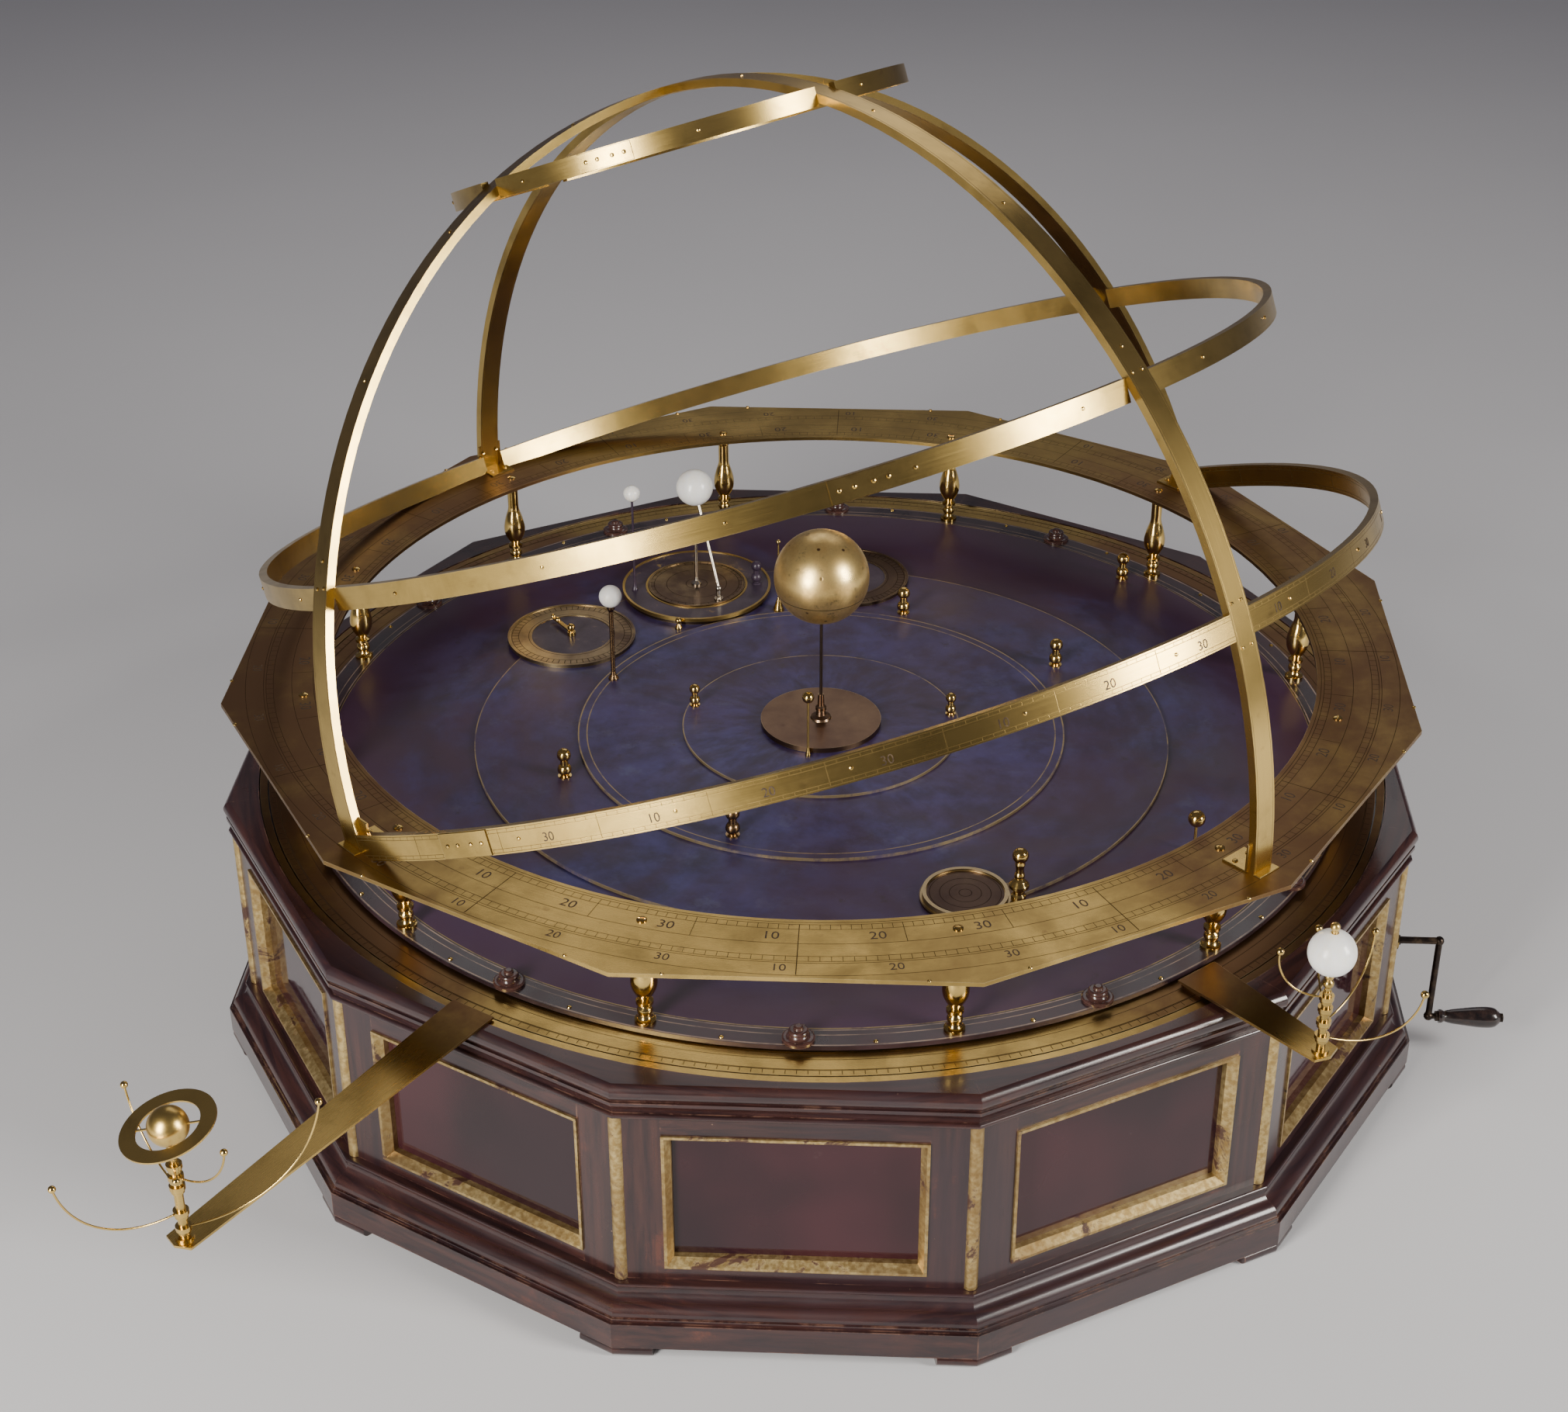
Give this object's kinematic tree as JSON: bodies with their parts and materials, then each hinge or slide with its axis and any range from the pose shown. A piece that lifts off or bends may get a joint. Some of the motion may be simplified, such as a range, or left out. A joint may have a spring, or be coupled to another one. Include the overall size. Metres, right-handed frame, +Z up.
{
  "type": "orrery",
  "caption": "Hand-cranked table orrery: glazed polygonal case, turning plates and rings that carry planets on stems, and a half sphere of celestial bands above.",
  "frame": {"origin": "on the central axis, at the level that the feet stand on", "axes": "+Z up the central axis; a flat side of the case faces -Y; the hand crank is at +X"},
  "size_m": [1.3155, 1.4747, 0.9762],
  "materials": {
    "mahogany": "dark polished hardwood",
    "ebony": "turned, blackened",
    "gilt_moulding": "worn gilding",
    "dark_glass": "tinted, reflective",
    "brass": "polished, aged",
    "dull_brass": "olive patina, engraved",
    "sky_brass": "aged, engraved",
    "painted_table": "mottled blue paint",
    "dark_rim": "dark lacquer",
    "copper_lacquer": "brown lacquer over brass",
    "gilt_sun": "worn gilding",
    "ivory": "turned ivory",
    "earth_paint": "varnished map globe",
    "blackened_steel": "blackened",
    "steel": "worn"
  },
  "bodies": {
    "case": {"base_board": "mahogany", "base_moulding": "mahogany", "bearings": "brass", "bracket_feet": "mahogany", "central_pillar": "steel", "colure_bands": "sky_brass", "corner_posts": "mahogany", "corner_strips": "gilt_moulding", "cornice": "mahogany", "ecliptic_pillars": "brass", "ecliptic_ring": "sky_brass", "ecliptic_screws": "brass", "glass_panes": "dark_glass", "hold_down_buttons": "ebony", "panel_mouldings": "gilt_moulding", "panel_rails": "mahogany", "ring_bearer": "mahogany", "sky_circles": "sky_brass", "sun_socket": "copper_lacquer", "table_board": "mahogany", "table_legs": "mahogany", "table_rim": "dark_rim"},
    "earth_stage": {"earth_plate": "painted_table", "earth_wheel": "brass", "plate_dials": "copper_lacquer", "earth_axis": "brass", "earth_fittings": "brass"},
    "mercury_stage": {"mercury_plate": "painted_table", "mercury_wheel": "brass", "mercury_fittings": "brass"},
    "venus_stage": {"venus_plate": "painted_table", "venus_wheel": "brass", "venus_fittings": "brass", "venus_globe": "ivory"},
    "mars_stage": {"mars_plate": "painted_table", "mars_wheel": "brass", "mars_fittings": "brass"},
    "arbor": {"driving_arbor": "brass"},
    "crank": {"crank_shaft": "blackened_steel"},
    "grip": {"crank_grip": "ebony"},
    "sun": {"sun_globe": "gilt_sun"},
    "jupiter_stage": {"jupiter_ring": "dull_brass", "jupiter_arm": "brass", "jupiter_globe": "ivory"},
    "saturn_stage": {"saturn_ring": "dull_brass", "saturn_arm": "brass", "saturn_globe": "brass"},
    "moon_stage": {"moon_ring": "dull_brass", "moon_globe": "ivory"},
    "earth_ball": {"earth_globe": "earth_paint"},
    "hand": {"dial_hand": "brass"},
    "jupiter_satellite_1": {"jupiter_moon_1": "brass"},
    "jupiter_satellite_2": {"jupiter_moon_2": "brass"},
    "jupiter_satellite_3": {"jupiter_moon_3": "brass"},
    "jupiter_satellite_4": {"jupiter_moon_4": "brass"},
    "saturn_satellite_1": {"saturn_moon_1": "brass"},
    "saturn_satellite_2": {"saturn_moon_2": "brass"},
    "saturn_satellite_3": {"saturn_moon_3": "brass"},
    "saturn_satellite_4": {"saturn_moon_4": "brass"},
    "saturn_satellite_5": {"saturn_moon_5": "brass"}
  },
  "joints": [
    {"name": "earth_turn", "type": "hinge", "parent": "case", "child": "earth_stage", "pos_m": [0, 0, 0.2974], "axis": [0, 0, 1], "continuous": true},
    {"name": "mercury_turn", "type": "hinge", "parent": "case", "child": "mercury_stage", "pos_m": [0, 0, 0.3036], "axis": [0, 0, 1], "continuous": true},
    {"name": "venus_turn", "type": "hinge", "parent": "case", "child": "venus_stage", "pos_m": [0, 0, 0.3006], "axis": [0, 0, 1], "continuous": true},
    {"name": "mars_turn", "type": "hinge", "parent": "case", "child": "mars_stage", "pos_m": [0, 0, 0.2934], "axis": [0, 0, 1], "continuous": true},
    {"name": "arbor_turn", "type": "hinge", "parent": "case", "child": "arbor", "pos_m": [0, -0.135, 0.15], "axis": [0, 0, 1], "continuous": true},
    {"name": "crank_turn", "type": "hinge", "parent": "case", "child": "crank", "pos_m": [0.581, -0.135, 0.145], "axis": [1, 0, 0], "continuous": true},
    {"name": "grip_spin", "type": "hinge", "parent": "crank", "child": "grip", "pos_m": [0.672, -0.135, 0.051], "axis": [1, 0, 0], "continuous": true},
    {"name": "sun_turn", "type": "hinge", "parent": "case", "child": "sun", "pos_m": [0, 0, 0.4747], "axis": [0, 0, 1], "continuous": true},
    {"name": "jupiter_turn", "type": "hinge", "parent": "case", "child": "jupiter_stage", "pos_m": [0, 0, 0.2873], "axis": [0, 0, 1], "continuous": true},
    {"name": "saturn_turn", "type": "hinge", "parent": "case", "child": "saturn_stage", "pos_m": [0, 0, 0.2873], "axis": [0, 0, 1], "continuous": true},
    {"name": "moon_turn", "type": "hinge", "parent": "earth_stage", "child": "moon_stage", "pos_m": [-0.15209, 0.29849, 0.305], "axis": [0, 0, 1], "continuous": true},
    {"name": "earth_spin", "type": "hinge", "parent": "earth_stage", "child": "earth_ball", "pos_m": [-0.15209, 0.29849, 0.428], "axis": [-0.24, 0.3185, 0.9171], "continuous": true},
    {"name": "hand_turn", "type": "hinge", "parent": "earth_stage", "child": "hand", "pos_m": [-0.28096, 0.18245, 0.306], "axis": [0, 0, 1], "continuous": true},
    {"name": "jupiter_satellite_1_turn", "type": "hinge", "parent": "jupiter_stage", "child": "jupiter_satellite_1", "pos_m": [0.44784, -0.517, 0.34], "axis": [0, 0, 1], "continuous": true},
    {"name": "jupiter_satellite_2_turn", "type": "hinge", "parent": "jupiter_stage", "child": "jupiter_satellite_2", "pos_m": [0.44784, -0.517, 0.34], "axis": [0, 0, 1], "continuous": true},
    {"name": "jupiter_satellite_3_turn", "type": "hinge", "parent": "jupiter_stage", "child": "jupiter_satellite_3", "pos_m": [0.44784, -0.517, 0.34], "axis": [0, 0, 1], "continuous": true},
    {"name": "jupiter_satellite_4_turn", "type": "hinge", "parent": "jupiter_stage", "child": "jupiter_satellite_4", "pos_m": [0.44784, -0.517, 0.34], "axis": [0, 0, 1], "continuous": true},
    {"name": "saturn_satellite_1_turn", "type": "hinge", "parent": "saturn_stage", "child": "saturn_satellite_1", "pos_m": [-0.46883, -0.79274, 0.34], "axis": [0, 0, 1], "continuous": true},
    {"name": "saturn_satellite_2_turn", "type": "hinge", "parent": "saturn_stage", "child": "saturn_satellite_2", "pos_m": [-0.46883, -0.79274, 0.34], "axis": [0, 0, 1], "continuous": true},
    {"name": "saturn_satellite_3_turn", "type": "hinge", "parent": "saturn_stage", "child": "saturn_satellite_3", "pos_m": [-0.46883, -0.79274, 0.34], "axis": [0, 0, 1], "continuous": true},
    {"name": "saturn_satellite_4_turn", "type": "hinge", "parent": "saturn_stage", "child": "saturn_satellite_4", "pos_m": [-0.46883, -0.79274, 0.34], "axis": [0, 0, 1], "continuous": true},
    {"name": "saturn_satellite_5_turn", "type": "hinge", "parent": "saturn_stage", "child": "saturn_satellite_5", "pos_m": [-0.46883, -0.79274, 0.34], "axis": [0, 0, 1], "continuous": true}
  ],
  "couplings": [
    {"joint": "mercury_turn", "follows": "earth_turn", "ratio": 4.15},
    {"joint": "venus_turn", "follows": "earth_turn", "ratio": 1.625},
    {"joint": "mars_turn", "follows": "earth_turn", "ratio": 0.53165},
    {"joint": "arbor_turn", "follows": "earth_turn", "ratio": -1},
    {"joint": "crank_turn", "follows": "earth_turn", "ratio": -5},
    {"joint": "jupiter_turn", "follows": "earth_turn", "ratio": 0.084337},
    {"joint": "saturn_turn", "follows": "earth_turn", "ratio": 0.033898},
    {"joint": "moon_turn", "follows": "earth_turn", "ratio": 12.375}
  ]
}
